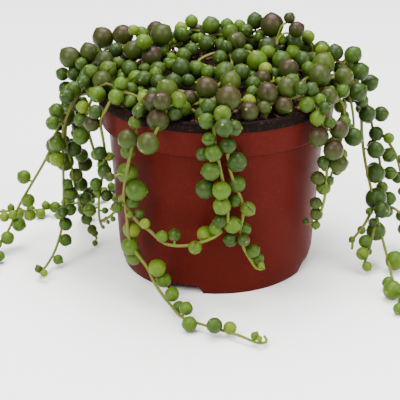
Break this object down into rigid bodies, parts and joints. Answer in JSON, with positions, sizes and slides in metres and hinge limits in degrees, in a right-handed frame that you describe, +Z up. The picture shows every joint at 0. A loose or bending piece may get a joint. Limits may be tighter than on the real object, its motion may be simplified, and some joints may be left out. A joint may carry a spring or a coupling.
{
  "type": "potted string of pearls plant",
  "caption": "String of pearls plant in a round two-colour nursery pot: round leaves cover the soil and trail on thin stems over the rim and along the surface.",
  "frame": {"origin": "middle of the pot's underside, on the surface it stands on", "axes": "+Z up; -Y towards the viewer, where the longest string runs along the surface"},
  "size_m": [0.2125, 0.1716, 0.105],
  "materials": {
    "pot_plastic": "gloss",
    "potting_mix": "matte",
    "leaf": "satin"
  },
  "bodies": {
    "root": {"pot": "pot_plastic", "soil": "potting_mix", "string_front_left": "leaf", "string_centre_left": "leaf", "string_centre_right": "leaf", "string_right_front": "leaf", "string_right_main": "leaf", "string_right_second": "leaf", "string_right_outer": "leaf", "string_right_short": "leaf", "string_right_back": "leaf", "string_left_outer": "leaf", "string_left_front": "leaf", "string_left_middle": "leaf", "string_left_inner": "leaf", "string_left_back": "leaf", "string_left_short": "leaf", "string_left_collar": "leaf", "string_back_1": "leaf", "string_back_2": "leaf", "string_back_3": "leaf", "string_back_4": "leaf", "string_back_5": "leaf", "string_crown_1": "leaf", "string_crown_2": "leaf", "string_crown_3": "leaf", "string_crown_4": "leaf", "string_crown_5": "leaf", "string_crown_6": "leaf", "string_crown_7": "leaf", "string_crown_8": "leaf", "string_crown_9": "leaf", "string_crown_10": "leaf", "string_crown_11": "leaf", "string_crown_12": "leaf", "string_crown_13": "leaf", "string_crown_14": "leaf", "string_crown_15": "leaf", "string_crown_16": "leaf"}
  },
  "joints": []
}
